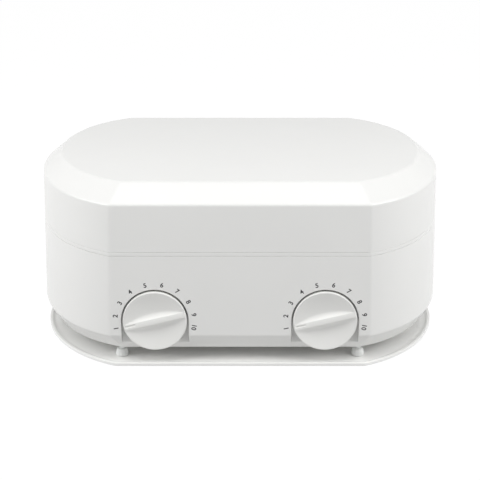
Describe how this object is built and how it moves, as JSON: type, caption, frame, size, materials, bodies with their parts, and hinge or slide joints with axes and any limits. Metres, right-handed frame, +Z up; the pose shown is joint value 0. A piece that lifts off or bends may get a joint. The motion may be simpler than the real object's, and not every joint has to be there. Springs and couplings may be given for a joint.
{
  "type": "double wax warmer",
  "caption": "Countertop wax warmer: two heated wells with lift-out pots and rotary heat dials under one lift-off lid, on a base plate.",
  "frame": {"origin": "middle of the base plate's flat underside, on the surface that the warmer stands on", "axes": "+X to the right along the long side, +Y to the back, +Z up out of the surface"},
  "size_m": [0.388, 0.2221, 0.1805],
  "materials": {
    "white_shell": "gloss moulded",
    "white_knob": "satin gloss moulded",
    "grey_rubber": "matt",
    "dark_plastic": "moulded",
    "block_plastic": "moulded",
    "pale_fibre": "needled fibre",
    "aluminium": "spun",
    "steel": "zinc plated",
    "heater_skin": "heat-darkened",
    "fuse_ceramic": "glazed"
  },
  "bodies": {
    "warmer": {"base_plate": "white_shell", "bottom_cover": "white_shell", "housing": "white_shell", "deck": "white_shell", "cord_gland": "white_shell", "terminal_block": "block_plastic", "foot_front_left": "grey_rubber", "foot_screw_front_left": "steel", "foot_front_right": "grey_rubber", "foot_screw_front_right": "steel", "foot_rear_left": "grey_rubber", "foot_screw_rear_left": "steel", "foot_rear_right": "grey_rubber", "foot_screw_rear_right": "steel", "cover_screw_front_left": "steel", "cover_screw_front_right": "steel", "cover_screw_rear_left": "steel", "cover_screw_rear_right": "steel", "cover_screw_front_middle": "steel", "cover_screw_rear_middle": "steel", "heating_well_left": "aluminium", "felt_pad_left": "pale_fibre", "heater_band_left": "heater_skin", "band_screw_left": "steel", "insulation_left": "pale_fibre", "thermal_fuse_left": "fuse_ceramic", "thermostat_left": "dark_plastic", "thermostat_nut_left": "steel", "heating_well_right": "aluminium", "felt_pad_right": "pale_fibre", "heater_band_right": "heater_skin", "band_screw_right": "steel", "insulation_right": "pale_fibre", "thermal_fuse_right": "fuse_ceramic", "thermostat_right": "dark_plastic", "thermostat_nut_right": "steel"},
    "lid": {"lid": "white_shell"},
    "pot_left": {"wax_pot_left": "aluminium", "pot_ear_front_left": "steel", "pot_ear_rear_left": "steel"},
    "dial_left": {"knob_left": "white_knob", "thermostat_shaft_left": "steel"},
    "pot_right": {"wax_pot_right": "aluminium", "pot_ear_front_right": "steel", "pot_ear_rear_right": "steel"},
    "dial_right": {"knob_right": "white_knob", "thermostat_shaft_right": "steel"}
  },
  "joints": [
    {"name": "lid_lift", "type": "slide", "parent": "warmer", "child": "lid", "axis": [0, 0, 1], "range_m": [0, 0.15]},
    {"name": "pot_left_lift", "type": "slide", "parent": "warmer", "child": "pot_left", "axis": [0, 0, 1], "range_m": [0, 0.05]},
    {"name": "dial_left_turn", "type": "hinge", "parent": "warmer", "child": "dial_left", "pos_m": [-0.0804, -0.109, 0.0472], "axis": [0, 1, 0], "range_deg": [0, 204]},
    {"name": "pot_right_lift", "type": "slide", "parent": "warmer", "child": "pot_right", "axis": [0, 0, 1], "range_m": [0, 0.05]},
    {"name": "dial_right_turn", "type": "hinge", "parent": "warmer", "child": "dial_right", "pos_m": [0.0804, -0.109, 0.0472], "axis": [0, 1, 0], "range_deg": [0, 204]}
  ]
}
